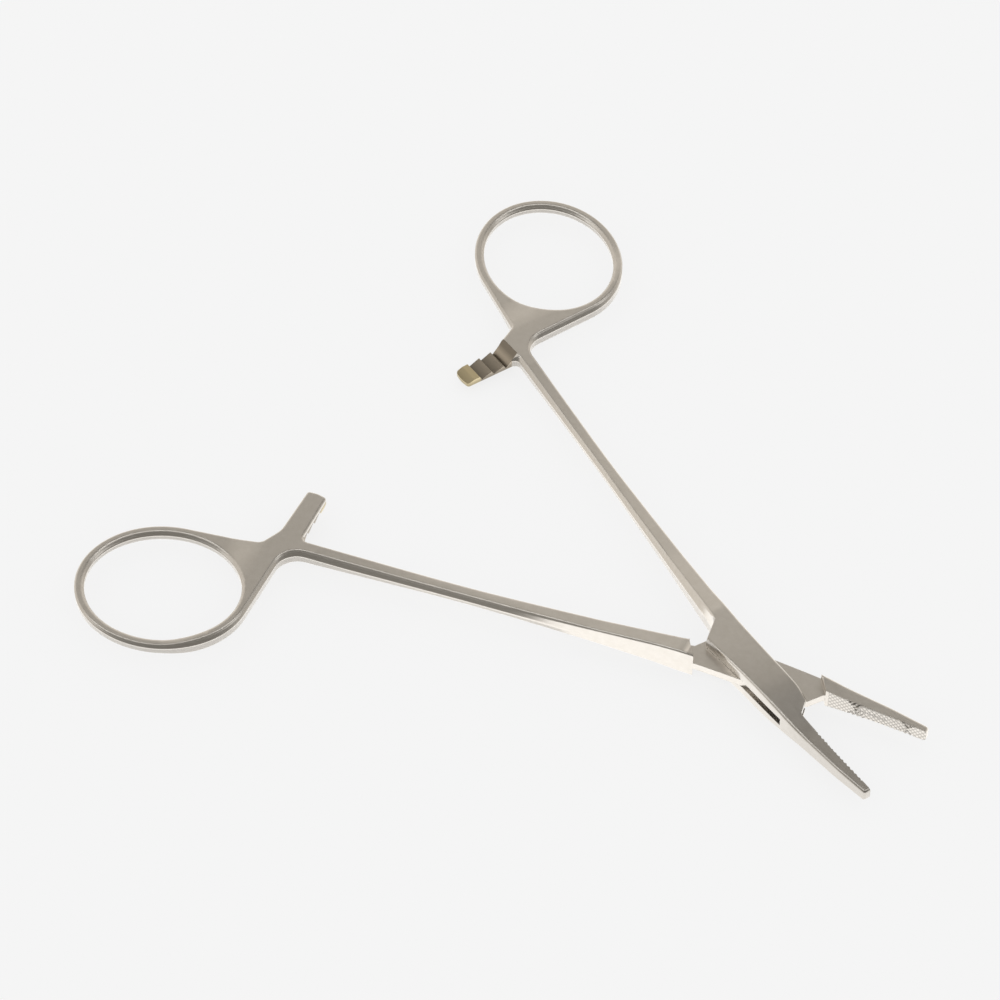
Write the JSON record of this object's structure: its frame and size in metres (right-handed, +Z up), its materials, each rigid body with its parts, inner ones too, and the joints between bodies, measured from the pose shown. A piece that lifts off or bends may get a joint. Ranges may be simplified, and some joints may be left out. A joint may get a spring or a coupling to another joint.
{
  "type": "surgical needle holder",
  "caption": "Slender ring-handled needle holder with a box lock, ratchet arms and cross-serrated jaws that grip a curved suture needle.",
  "frame": {"origin": "on the pivot axis, in the underside face of the box lock", "axes": "+Z up along the pivot axis, +X along the bisector of the two halves towards the jaws, +Y to the left when looking from the rings to the jaws from above"},
  "size_m": [0.1291, 0.1262, 0.0053],
  "materials": {
    "steel": "satin brushed stainless steel",
    "pin_steel": "pin ground flush with the box and brushed with it"
  },
  "bodies": {
    "box": {"box_half": "steel", "pivot_pin": "pin_steel"},
    "tongue": {"tongue_half": "steel"}
  },
  "joints": [
    {"name": "box_lock", "type": "hinge", "parent": "box", "child": "tongue", "pos_m": [0, 0, 0], "axis": [0, 0, 1], "range_deg": [-28.3, 31.7]}
  ]
}
